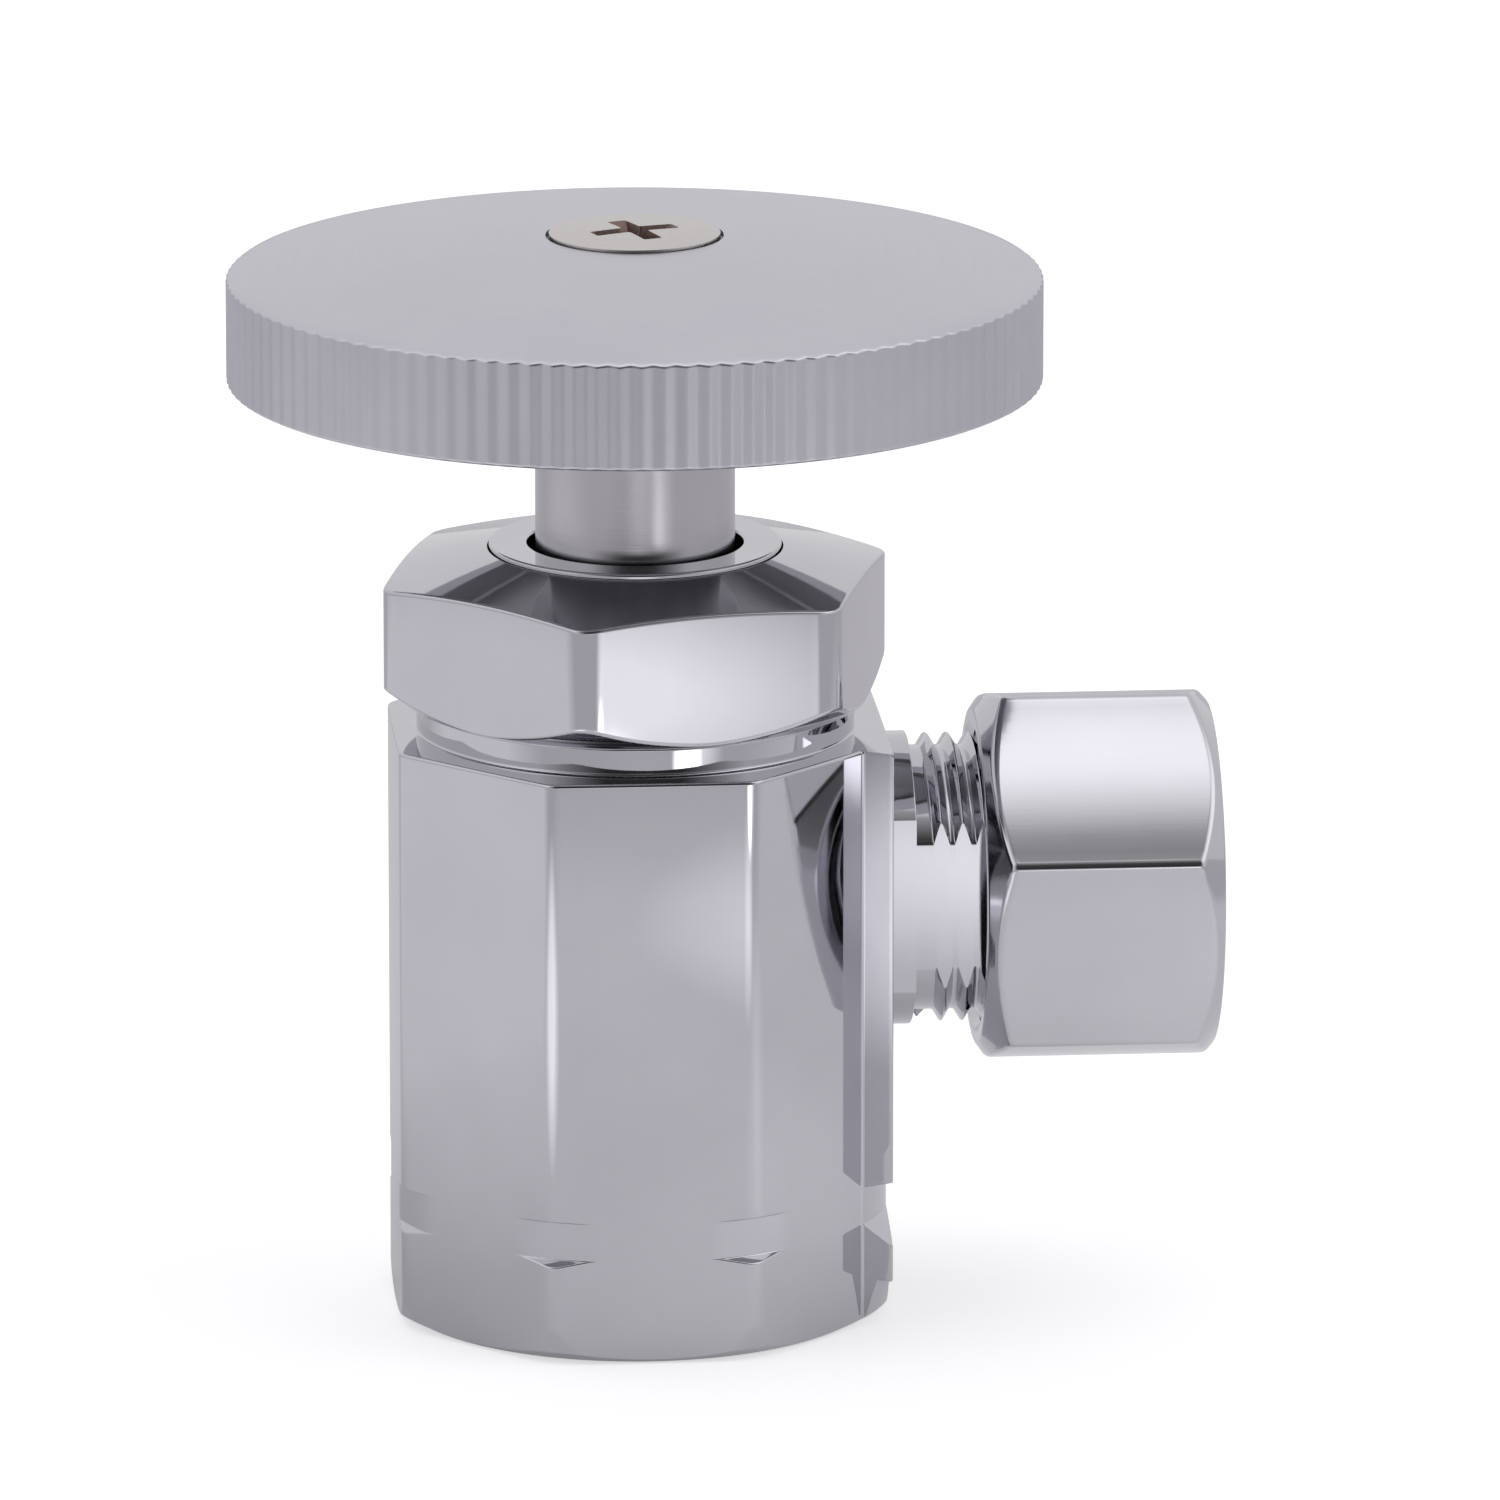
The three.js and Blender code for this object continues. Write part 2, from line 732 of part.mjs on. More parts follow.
const polishedChrome = finish('#c6c6cc', 0.08, 1);
const satinChrome = finish('#b9bac1', 0.35, 1);
const turnedChrome = finish('#b4b4b8', 0.25, 1);
const nickel = finish('#c9c2b8', 0.3, 1);
const brass = finish('#b8964a', 0.35, 1);
const rubber = finish('#1d1d1f', 0.9, 0);
const fibre = finish('#8a4636', 0.9, 0);

const valve = new THREE.Group();

function place(name, geometry, material) {
  const mesh = new THREE.Mesh(closedMesh(geometry), material);
  mesh.name = name;
  valve.add(mesh);
}

place('body', bodyGeometry(), polishedChrome);
place('bonnet', bonnetGeometry(), polishedChrome);
place('bonnet_gasket', bonnetGasketGeometry(), fibre);
place('packing_washer', packingWasherGeometry(), brass);
place('packing_ring', packingRingGeometry(), rubber);
place('gland_bush', glandBushGeometry(), polishedChrome);
place('stem', stemGeometry(), turnedChrome);
place('disc_holder', discHolderGeometry(), brass);
place('holder_clip', holderClipGeometry(), turnedChrome);
place('seat_washer', seatWasherGeometry(), rubber);
place('washer_cup', washerCupGeometry(), brass);
place('washer_screw', washerScrewGeometry(), brass);
place('handle', handleGeometry(), satinChrome);
place('handle_screw', handleScrewGeometry(), nickel);
place('compression_nut', compressionNutGeometry(), polishedChrome);
place('ferrule', ferruleGeometry(), brass);

export default valve;
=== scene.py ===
import json
import math
from collections import namedtuple

import bmesh
import bpy
import numpy as np
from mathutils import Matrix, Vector

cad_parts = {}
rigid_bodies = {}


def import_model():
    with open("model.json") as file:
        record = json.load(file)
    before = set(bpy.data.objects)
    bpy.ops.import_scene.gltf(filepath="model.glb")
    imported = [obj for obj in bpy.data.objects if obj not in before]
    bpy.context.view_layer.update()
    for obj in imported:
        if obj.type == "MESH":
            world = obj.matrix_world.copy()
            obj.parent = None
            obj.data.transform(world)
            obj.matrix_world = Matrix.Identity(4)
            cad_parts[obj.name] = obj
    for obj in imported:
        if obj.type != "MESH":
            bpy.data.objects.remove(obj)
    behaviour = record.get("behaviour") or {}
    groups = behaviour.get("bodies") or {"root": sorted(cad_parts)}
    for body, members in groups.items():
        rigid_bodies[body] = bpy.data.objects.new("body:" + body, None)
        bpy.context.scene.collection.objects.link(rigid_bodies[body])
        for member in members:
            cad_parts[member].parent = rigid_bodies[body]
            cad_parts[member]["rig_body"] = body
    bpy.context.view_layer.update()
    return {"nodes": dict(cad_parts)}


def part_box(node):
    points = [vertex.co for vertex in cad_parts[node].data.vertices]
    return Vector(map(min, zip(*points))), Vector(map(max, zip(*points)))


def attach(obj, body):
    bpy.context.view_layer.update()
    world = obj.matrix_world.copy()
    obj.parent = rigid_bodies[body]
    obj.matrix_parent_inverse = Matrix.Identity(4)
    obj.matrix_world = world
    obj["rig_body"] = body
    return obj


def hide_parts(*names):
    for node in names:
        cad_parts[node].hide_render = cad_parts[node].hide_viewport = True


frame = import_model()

# An angle stop valve. Sizes are in millimetres until a mesh is made; the frame is in metres.
# Z is the stem's axis and X is the outlet's. Every piece is turned from a profile of
# (radius, height, setback) corners: the setback is how far a corner's rounding reaches along
# its sides, and a radius or height may change from column to column round the piece.

MM = 0.001
ARC_STEPS = 4               # steps in one rounded corner
CORNER_ROWS = ARC_STEPS + 3 # its rows, with one on the flat at each end that keeps the shading flat
FLAT_ROW = 1.25             # how far out that row lies, as a share of the rounding
COLUMN_SPACING = 0.45       # between columns along a bar's flats
COLUMNS = 144               # round a plain turned piece
CRISP = 0.05                # setback of a machined edge
SOFT = 0.15                 # setback of a polished edge
SHARP = math.radians(35)    # faces that meet at more than this are shaded apart
BEYOND = 5.0                # how far a cutter reaches past what it cuts
WELD = 1e-3                 # corners closer than this are one
LONGEST_SETBACK = 0.38      # as a share of the side that it lies on
RUNOUT = 0.4                # turns over which a thread fades at each end
LEAST_CHAMFER = 0.02
FLAT_WEIGHT = 100           # how strongly large faces set the shading
SECOND_MATERIAL = 1         # index of a piece's second material

Thread = namedtuple("Thread", "start pitch turns root crest")


def extent(node):
    """Lowest and highest corner of a CAD node."""
    low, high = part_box(node)
    return np.array(low) / MM, np.array(high) / MM


BODY_LOW, BODY_HIGH = extent("body")
BONNET_LOW, BONNET_HIGH = extent("bonnet")
BUSH_LOW, BUSH_HIGH = extent("gland_bush")
STEM_LOW, STEM_HIGH = extent("stem")
HANDLE_LOW, HANDLE_HIGH = extent("handle")
SCREW_LOW, SCREW_HIGH = extent("handle_screw")
NUT_LOW, NUT_HIGH = extent("compression_nut")
FERRULE_LOW, FERRULE_HIGH = extent("ferrule")

OUTLET_HEIGHT = (NUT_LOW[2] + NUT_HIGH[2]) / 2
OUTLET_LENGTH = BODY_HIGH[0]


# ---------------------------------------------------------------- mesh work

def rounded(corners, setbacks):
    """Rows of points round a closed loop of corners, each corner rounded by its setback."""
    rows = []
    for i, setback in enumerate(setbacks):
        corner = corners[i]
        if setback == 0:
            rows.append(corner)
            continue
        reaches = []
        for neighbour in (corners[i - 1], corners[(i + 1) % len(corners)]):
            side = neighbour - corner
            length = np.linalg.norm(side, axis=-1, keepdims=True)
            reaches.append(side * np.minimum(setback, LONGEST_SETBACK * length) / np.maximum(length, WELD))
        ends = [corner + reach for reach in reaches]
        rows.append(corner + reaches[0] * FLAT_ROW)
        for s in np.linspace(0, 1, ARC_STEPS + 1):
            rows.append((1 - s) ** 2 * ends[0] + 2 * s * (1 - s) * corner + s ** 2 * ends[1])
        rows.append(corner + reaches[1] * FLAT_ROW)
    return rows


def bar_columns(corners, setbacks, bulge=0.0, spacing=COLUMN_SPACING):
    """Angles and radii of the columns round a bar whose flats stand out by bulge at their middles."""
    points = rounded(np.array(corners, float), np.broadcast_to(setbacks, len(corners)))
    dense = []
    for here, there in zip(points, points[1:] + points[:1]):
        side = there - here
        length = np.linalg.norm(side)
        steps = max(1, math.ceil(length / spacing))
        outwards = np.array([side[1], -side[0]]) / length
        sagitta = bulge if steps > ARC_STEPS else 0
        for s in np.arange(steps) / steps:
            dense.append(here + side * s + outwards * sagitta * 4 * s * (1 - s))
    dense = np.array(dense)
    angles = np.arctan2(dense[:, 1], dense[:, 0])
    order = np.argsort(angles)
    return angles[order], np.hypot(*dense[order].T)


def circle_columns(count=COLUMNS):
    return np.arange(count) * (2 * math.pi / count)


def teeth(angles, count, crest, root, sharpness=0.93):
    """Radii of soft teeth round a circle."""
    wave = np.arcsin(sharpness * np.cos(count * angles)) / math.asin(sharpness)
    return (crest + root) / 2 + (crest - root) / 2 * wave


def thread_grid(thread, angles):
    """Heights and radii of the rows of a V thread, which runs out at both ends."""
    shares = np.array([0, 0.08, 0.14, 0.44, 0.5, 0.56, 0.86, 0.92])
    depths = np.array([0, 0, 0.06, 0.94, 1, 0.94, 0.06, 0])
    turn = np.arange(thread.turns)[:, None] + shares
    turn = np.append(turn.ravel(), thread.turns)
    depth = np.append(np.tile(depths, thread.turns), 0)
    along = turn[:, None] + (angles - angles[0]) / (2 * math.pi)
    runout = np.clip(np.minimum(along, thread.turns + 1 - along) / RUNOUT, 0, 1)
    heights = thread.start + thread.pitch * along
    radii = thread.root + (thread.crest - thread.root) * depth[:, None] * runout
    return np.stack([radii, heights], axis=-1), len(shares)


def ring_faces(lower, upper):
    """Quads between two rows of vertex numbers."""
    return np.stack([lower, np.roll(lower, -1), np.roll(upper, -1), upper], axis=-1).tolist()


def thread_faces(grid, per_turn, lower, upper):
    """Faces of a thread's rows: each row's end meets the start of the row one turn on."""
    last = len(grid) - 1
    faces = []
    for i in range(last):
        faces += ring_faces(grid[i], grid[i + 1])[:-1]
        if i + per_turn < last:
            faces.append([grid[i][-1], grid[i + per_turn][0], grid[i + per_turn + 1][0], grid[i + 1][-1]])
    faces += ring_faces(lower, grid[0])[:-1]
    faces += ring_faces(grid[last], upper)[:-1]
    start_seam = [grid[i][0] for i in range(per_turn + 1)]
    end_seam = [grid[i][-1] for i in range(last, last - per_turn - 1, -1)]
    faces.append([lower[-1], lower[0], *start_seam, grid[0][-1]])
    faces.append([upper[0], upper[-1], *end_seam, grid[last][0]])
    return faces


def turned(name, angles, profile):
    """A closed mesh in millimetres, turned from a profile that may hold one thread."""
    cuts = [i for i, corner in enumerate(profile) if isinstance(corner, Thread)]
    thread = profile[cuts[0]] if cuts else None
    corners = [corner for corner in profile if not isinstance(corner, Thread)]
    places = [np.stack([np.broadcast_to(v, angles.shape) for v in corner[:2]], axis=-1)
              for corner in corners]
    setbacks = [corner[2] for corner in corners]
    rows = rounded(places, setbacks)
    row_counts = [CORNER_ROWS if setback else 1 for setback in setbacks]
    before_thread = sum(row_counts[:cuts[0]]) - 1 if cuts else None
    numbers = np.arange(len(rows) * len(angles)).reshape(len(rows), -1)
    faces = []
    for i in range(len(rows)):
        if i != before_thread:
            faces += ring_faces(numbers[i], numbers[(i + 1) % len(rows)])
    if thread:
        thread_rows, per_turn = thread_grid(thread, angles)
        grid = numbers.size + np.arange(thread_rows.shape[0] * len(angles)).reshape(-1, len(angles))
        faces += thread_faces(grid, per_turn, numbers[before_thread], numbers[before_thread + 1])
        rows = rows + list(thread_rows)
    radii, heights = np.moveaxis(np.array(rows), -1, 0)
    points = np.stack([radii * np.cos(angles), radii * np.sin(angles), heights], axis=-1)
    mesh = bpy.data.meshes.new(name)
    mesh.from_pydata(points.reshape(-1, 3).tolist(), [], faces)
    return tidied(mesh)


def tidied(mesh):
    """Merges points that fall together and turns every face outwards."""
    work = bmesh.new()
    work.from_mesh(mesh)
    bmesh.ops.remove_doubles(work, verts=work.verts, dist=WELD)
    bmesh.ops.dissolve_degenerate(work, edges=work.edges, dist=WELD / 10)
    wires = [edge for edge in work.edges if not edge.link_faces]
    bmesh.ops.delete(work, geom=wires, context="EDGES")
    bmesh.ops.recalc_face_normals(work, faces=work.faces)
    if work.calc_volume(signed=True) < 0:
        bmesh.ops.reverse_faces(work, faces=work.faces)
    work.to_mesh(mesh)
    work.free()
    return mesh


def along_outlet(mesh):
    """Lays a mesh that was made along Z onto the outlet's axis."""
    for vertex in mesh.vertices:
        x, y, z = vertex.co
        vertex.co = (z, y, OUTLET_HEIGHT - x)
    return mesh


def piece(mesh, node, slot, *materials):
    """A finished piece that stands for one CAD node and rides on that node's body."""
    for vertex in mesh.vertices:
        vertex.co *= MM
    mesh.shade_smooth()
    mesh.set_sharp_from_angle(angle=SHARP)
    for material in materials:
        mesh.materials.append(material)
    made = bpy.data.objects.new(mesh.name, mesh)
    bpy.context.scene.collection.objects.link(made)
    flats = made.modifiers.new("flats", "WEIGHTED_NORMAL")
    flats.weight = FLAT_WEIGHT
    flats.keep_sharp = True
    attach(made, frame["nodes"][node]["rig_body"])
    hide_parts(node)
    return made


def cut_or_join(mesh, other, operation):
    """The first mesh joined with the other one, or cut by it."""
    first = bpy.data.objects.new("first", mesh)
    second = bpy.data.objects.new("second", other)
    for thing in (first, second):
        bpy.context.scene.collection.objects.link(thing)
    step = first.modifiers.new("step", "BOOLEAN")
    step.operation = operation
    step.object = second
    step.solver = "EXACT"
    graph = bpy.context.evaluated_depsgraph_get()
    made = bpy.data.meshes.new_from_object(first.evaluated_get(graph))
    made.name = mesh.name
    for thing in (first, second):
        bpy.data.objects.remove(thing)
    return made


# ---------------------------------------------------------------- materials

def add(made, kind, inputs=(), **settings):
    """Adds a node to a node tree's owner, with its properties, links and values."""
    node = made.node_tree.nodes.new("ShaderNode" + kind)
    for key, value in settings.items():
        setattr(node, key, value)
    for socket, value in dict(inputs).items():
        if isinstance(value, bpy.types.NodeSocket):
            made.node_tree.links.new(value, node.inputs[socket])
        else:
            node.inputs[socket].default_value = value
    return node


def grain(made, feature, stretch=(1, 1, 1), detail=3.0):
    """Noise whose features are that many millimetres long, drawn out along the axes."""
    place = add(made, "TexCoord").outputs["Object"]
    scale = [1 / (feature * MM * factor) for factor in stretch]
    scaled = add(made, "Mapping", {"Vector": place, "Scale": scale})
    noise = add(made, "TexNoise", {"Vector": scaled.outputs["Vector"], "Scale": 1.0, "Detail": detail})
    return noise.outputs["Fac"]


def turned_grain(made, feature):
    """Noise in rings about Z, as a lathe leaves on a face."""
    place = add(made, "TexCoord").outputs["Object"]
    axes = add(made, "SeparateXYZ", {"Vector": place})
    flat = add(made, "CombineXYZ", {"X": axes.outputs["X"], "Y": axes.outputs["Y"]})
    radius = add(made, "VectorMath", {0: flat.outputs["Vector"]}, operation="LENGTH")
    ringed = add(made, "CombineXYZ", {"X": radius.outputs["Value"], "Z": axes.outputs["Z"]})
    noise = add(made, "TexNoise", {"Vector": ringed.outputs["Vector"], "Scale": 1 / (feature * MM)})
    return noise.outputs["Fac"]


def spread(made, value, low, high, start=0.3, end=0.7):
    """Maps noise onto a range."""
    inputs = {"Value": value, "From Min": start, "From Max": end, "To Min": low, "To Max": high}
    return add(made, "MapRange", inputs).outputs["Result"]


def tinted(made, value, dark, light):
    """A colour between two others."""
    mix = add(made, "Mix", {"Factor": value}, data_type="RGBA")
    mix.inputs[6].default_value = (*dark, 1)
    mix.inputs[7].default_value = (*light, 1)
    return mix.outputs[2]


def principled(name, metallic):
    made = bpy.data.materials.new(name)
    made.use_nodes = True
    shader = made.node_tree.nodes["Principled BSDF"]
    shader.inputs["Metallic"].default_value = metallic
    return made, shader


def wire(made, output, shader, socket):
    made.node_tree.links.new(output, shader.inputs[socket])


def bumped(made, shader, height, depth):
    """Bump from a height of 0 to 1, depth millimetres deep."""
    inputs = {"Height": height, "Strength": 1.0, "Distance": depth * MM}
    wire(made, add(made, "Bump", inputs).outputs["Normal"], shader, "Normal")


def metal(name, dark, light, smooth, rough, lines, depth):
    """Metal with cloudy tint and gloss, and a fine grain given as noise of its own."""
    made, shader = principled(name, 1.0)
    cloud = grain(made, 5.0)
    wire(made, tinted(made, spread(made, cloud, 0, 1), dark, light), shader, "Base Color")
    fine = lines(made)
    both = add(made, "Math", {0: cloud, 1: fine}, operation="ADD").outputs["Value"]
    wire(made, spread(made, both, smooth, rough, 0.7, 1.3), shader, "Roughness")
    bumped(made, shader, fine, depth)
    return made


def plain_matter(name, dark, light, rough, feature, depth):
    """Rubber or fibre: mottled and matt."""
    made, shader = principled(name, 0.0)
    speckle = grain(made, feature)
    wire(made, tinted(made, spread(made, speckle, 0, 1), dark, light), shader, "Base Color")
    wire(made, spread(made, speckle, rough - 0.1, rough), shader, "Roughness")
    bumped(made, shader, speckle, depth)
    return made


CHROME = metal("polished_chrome", (0.545, 0.54, 0.575), (0.57, 0.565, 0.60), 0.03, 0.06,
               lambda made: grain(made, 0.8), 0.0002)
BRUSHED = metal("brushed_chrome", (0.545, 0.54, 0.575), (0.57, 0.565, 0.60), 0.06, 0.12,
                lambda made: grain(made, 0.12, (25, 1, 1)), 0.0006)
SATIN = metal("satin_chrome", (0.575, 0.57, 0.62), (0.605, 0.60, 0.645), 0.30, 0.36,
              lambda made: turned_grain(made, 0.25), 0.001)
TURNED = metal("turned_chrome", (0.53, 0.52, 0.545), (0.57, 0.56, 0.585), 0.18, 0.26,
               lambda made: grain(made, 0.08, (60, 60, 1)), 0.001)
# The handle's underside: rougher, and darker in colour, which is painted shade under the handwheel.
SHADED_UNDERSIDE = metal("underside_painted_shade", (0.46, 0.46, 0.48), (0.54, 0.54, 0.56), 0.35, 0.5,
             lambda made: grain(made, 0.5), 0.01)
NICKEL = metal("nickel", (0.58, 0.55, 0.535), (0.64, 0.61, 0.595), 0.25, 0.38,
               lambda made: grain(made, 0.3), 0.003)
TARNISH = metal("tarnished_recess", (0.10, 0.065, 0.055), (0.26, 0.19, 0.165), 0.35, 0.5,
                lambda made: grain(made, 0.15), 0.02)
BRASS = metal("raw_brass", (0.50, 0.34, 0.12), (0.62, 0.45, 0.18), 0.25, 0.4,
              lambda made: turned_grain(made, 0.2), 0.004)
SPRING = metal("spring_steel", (0.32, 0.32, 0.33), (0.42, 0.42, 0.43), 0.25, 0.35,
               lambda made: grain(made, 0.2), 0.002)
RUBBER = plain_matter("black_rubber", (0.012, 0.012, 0.013), (0.03, 0.03, 0.031), 0.75, 0.4, 0.01)
FIBRE = plain_matter("red_fibre", (0.20, 0.06, 0.04), (0.33, 0.11, 0.07), 0.9, 0.25, 0.02)


# ---------------------------------------------------------------- body

BODY_CORNER = 0.5
LUG_CORNER = 0.12
BODY_BULGE = 0.03
LUG_HALF_WIDTH = 7.35
LUG_ROOT_HALF_WIDTH = 6.5
NECK_RADIUS = 10.8
NECK_HEIGHT = 1.45
GROOVE_RADIUS = 12.55
GROOVE_HEIGHTS = (5.25, 7.14)           # where its walls meet its floor
GROOVE_SLOPES = (math.radians(30), math.radians(15))
FOOT_RADII = (11.75, 12.75, 13.25)      # corners of the tapered foot
FOOT_HEIGHTS = (0, 0.55, 2.5)
INLET_RADIUS = 9.4
INLET_MOUTH = 10.7
INLET_LENGTH = 12.5
INLET_THREAD_DEPTH = 0.9
INLET_PITCH = 25.4 / 14
INLET_TURNS = 4
SEAT_RADIUS = 4
SEAT_LAND = 1.2
SEAT_CROWN = 0.6
WEB_TOP = 15.5
CHAMBER_RADIUS = 8
SKIRT_RADIUS = 8.6
SLIP = 0.08
FACE_GAP = 0.1
GASKET_WALL = 1.1
GASKET_THICKNESS = 0.9

NECK_TOP = BODY_HIGH[2]
BODY_TOP = NECK_TOP - NECK_HEIGHT
BODY_FLAT = BODY_HIGH[1]
SKIRT_BOTTOM = BONNET_LOW[2]
BONNET_FOOT = NECK_TOP + FACE_GAP


def body_outline():
    """An octagon whose flat behind the outlet is widened into a lug."""
    flat_sum = BODY_FLAT * math.sqrt(2)
    side = BODY_FLAT * math.tan(math.pi / 8)
    back = -BODY_LOW[0]
    half = [
        (BODY_FLAT, LUG_HALF_WIDTH),
        (flat_sum - LUG_ROOT_HALF_WIDTH, LUG_ROOT_HALF_WIDTH),
        (side, BODY_FLAT),
        (-side, BODY_FLAT),
        (-back, flat_sum - back),
    ]
    return half + [(x, -y) for x, y in reversed(half)]


def groove_profile(bar):
    """The turned groove near the foot, which only the bar's corners are big enough to show."""
    wide = np.maximum(bar, GROOVE_RADIUS)
    narrow = np.minimum(bar, GROOVE_RADIUS)
    lower, upper = GROOVE_HEIGHTS
    falls, rises = [(wide - GROOVE_RADIUS) * math.tan(slope) for slope in GROOVE_SLOPES]
    return [
        (bar, upper + rises, CRISP),
        (narrow, upper, CRISP),
        (narrow, lower, CRISP),
        (bar, lower - falls, CRISP),
    ]


def foot_profile(bar):
    """The foot's tapers, from the bar down to the bearing edge."""
    steps = [(bar, np.interp(bar, FOOT_RADII, FOOT_HEIGHTS), SOFT)]
    for radius in reversed(FOOT_RADII):
        limit = np.minimum(bar, radius)
        steps.append((limit, np.interp(limit, FOOT_RADII, FOOT_HEIGHTS), CRISP))
    return steps


def body_mesh():
    corners = body_outline()
    setbacks = [LUG_CORNER if abs(y) <= LUG_HALF_WIDTH and x > 0 else BODY_CORNER for x, y in corners]
    angles, bar = bar_columns(corners, setbacks, BODY_BULGE)
    mouth_depth = INLET_MOUTH - INLET_RADIUS
    seat_top = WEB_TOP + SEAT_CROWN
    recess = NECK_TOP - GASKET_THICKNESS - FACE_GAP
    skirt_bore = SKIRT_RADIUS + SLIP
    return turned("body_casting", angles, [
        (NECK_RADIUS, NECK_TOP, SOFT),
        (NECK_RADIUS, BODY_TOP, SOFT),
        (bar, BODY_TOP, SOFT),
        *groove_profile(bar),
        *foot_profile(bar),
        (INLET_MOUTH, 0, CRISP),
        (INLET_RADIUS, mouth_depth, 0),
        Thread(mouth_depth, INLET_PITCH, INLET_TURNS, INLET_RADIUS, INLET_RADIUS + INLET_THREAD_DEPTH),
        (INLET_RADIUS, INLET_LENGTH, 0),
        (SEAT_RADIUS, INLET_LENGTH, SOFT),
        (SEAT_RADIUS, seat_top, CRISP),
        (SEAT_RADIUS + SEAT_LAND, seat_top, CRISP),
        (SEAT_RADIUS + SEAT_LAND + SEAT_CROWN, WEB_TOP, SOFT),
        (CHAMBER_RADIUS, WEB_TOP, SOFT),
        (CHAMBER_RADIUS, SKIRT_BOTTOM - 2 * FACE_GAP, CRISP),
        (skirt_bore, SKIRT_BOTTOM - 2 * FACE_GAP, CRISP),
        (skirt_bore, recess, CRISP),
        (skirt_bore + GASKET_WALL, recess, CRISP),
        (skirt_bore + GASKET_WALL, NECK_TOP, CRISP),
    ])


# ---------------------------------------------------------------- outlet

OUTLET_NECK_RADIUS = 7.25
OUTLET_NECK_LENGTH = 1.25
OUTLET_FLAT = 5.79
OUTLET_FLAT_HIDDEN = 1      # how far the flats run on under the nut
MILLING_MARGIN = 1          # how far their cutter reaches past the neck
OUTLET_THREAD_RADIUS = 7.145
OUTLET_THREAD_DEPTH = 0.6
OUTLET_PITCH = 25.4 / 24
OUTLET_TURNS = 7
OUTLET_LEAD = 0.3
WATERWAY_RADIUS = 3.6
TUBE_RADIUS = 9.525 / 2
SOCKET_LENGTH = 6
MOUTH_RADIUS = 6.1
TUBE_BORE = TUBE_RADIUS + SLIP


def outlet_neck_mesh():
    root = OUTLET_THREAD_RADIUS - OUTLET_THREAD_DEPTH
    neck_end = BODY_FLAT + OUTLET_NECK_LENGTH
    inside = BODY_FLAT - FACE_GAP
    return along_outlet(turned("outlet_neck", circle_columns(), [
        (0, inside, 0),
        (OUTLET_NECK_RADIUS, inside, 0),
        (OUTLET_NECK_RADIUS, neck_end, CRISP),
        (root, neck_end, 0),
        Thread(neck_end, OUTLET_PITCH, OUTLET_TURNS, root, OUTLET_THREAD_RADIUS),
        (root, OUTLET_LENGTH - OUTLET_LEAD, 0),
        (root - OUTLET_LEAD, OUTLET_LENGTH, 0),
        (0, OUTLET_LENGTH, 0),
    ]))


def side_cutter_mesh(side):
    """What is milled off one side of the neck, from the lug to just under the nut."""
    start = BODY_FLAT - FACE_GAP - MILLING_MARGIN
    end = NUT_LOW[0] + OUTLET_FLAT_HIDDEN
    near = OUTLET_FLAT * side
    far = (OUTLET_NECK_RADIUS + MILLING_MARGIN) * side
    outline = [(start, near), (end, near), (end, far), (start, far)]
    low = OUTLET_HEIGHT - BEYOND - OUTLET_NECK_RADIUS
    high = OUTLET_HEIGHT + BEYOND + OUTLET_NECK_RADIUS
    mesh = bpy.data.meshes.new("side_cutter")
    mesh.from_pydata([(x, y, z) for z in (low, high) for x, y in outline], [],
                     [(0, 1, 2, 3), (4, 5, 6, 7), (0, 1, 5, 4), (1, 2, 6, 5), (2, 3, 7, 6), (3, 0, 4, 7)])
    return tidied(mesh)


def milled_neck_mesh():
    neck = cut_or_join(outlet_neck_mesh(), side_cutter_mesh(1), "DIFFERENCE")
    return cut_or_join(neck, side_cutter_mesh(-1), "DIFFERENCE")


def waterway_mesh():
    mouth_depth = MOUTH_RADIUS - TUBE_BORE
    socket_end = OUTLET_LENGTH - SOCKET_LENGTH
    return along_outlet(turned("waterway", circle_columns(), [
        (0, 0, 0),
        (WATERWAY_RADIUS, 0, 0),
        (WATERWAY_RADIUS, socket_end, 0),
        (TUBE_BORE, socket_end, 0),
        (TUBE_BORE, OUTLET_LENGTH - mouth_depth, 0),
        (MOUTH_RADIUS, OUTLET_LENGTH, 0),
        (MOUTH_RADIUS, OUTLET_LENGTH + BEYOND, 0),
        (0, OUTLET_LENGTH + BEYOND, 0),
    ]))


def whole_body_mesh():
    """The casting with its outlet neck, bored through to the chamber."""
    joined = cut_or_join(body_mesh(), milled_neck_mesh(), "UNION")
    return cut_or_join(joined, waterway_mesh(), "DIFFERENCE")


# ---------------------------------------------------------------- compression joint

NUT_ACROSS_FLATS = 17.3
NUT_CORNER_TURN = math.pi + math.radians(13.5)
NUT_CORNER = 0.3
NUT_BULGE = 0.33
NUT_INNER_FACE = (8.3, math.radians(36))        # radius and slope of the chamfer behind it
NUT_OUTER_FACE = (8.5, math.radians(41.5))
NUT_BORE_DEPTH = 8.2
NUT_CONE_LENGTH = 1.5
NUT_LEAD = 0.35                                 # the bevel at each end of its bore
NUT_FACE_EDGE = 0.12                            # setbacks of its outer edges
NUT_INNER_EDGE = 0.25
NUT_OUTER_EDGE = 0.2
THREAD_GAP = 0.2
FERRULE_ROOM = 0.4
FERRULE_RADIUS = 5.9
FERRULE_END_RADIUS = 5.05
FERRULE_SHOULDERS = (1.15, 0.95)                # length of each rounded end
FERRULE_EDGE = 0.5


def hexagon(across_flats, turn):
    """Corners of a hexagon, the first of them at the angle turn."""
    radius = across_flats / math.sqrt(3)
    corners = turn + np.arange(6) * math.pi / 3
    return list(zip(radius * np.cos(corners), radius * np.sin(corners)))


def chamfer(bar, face):
    """How far below a face its chamfer cone meets the bar."""
    radius, slope = face
    return np.maximum((bar - radius) * math.tan(slope), LEAST_CHAMFER)


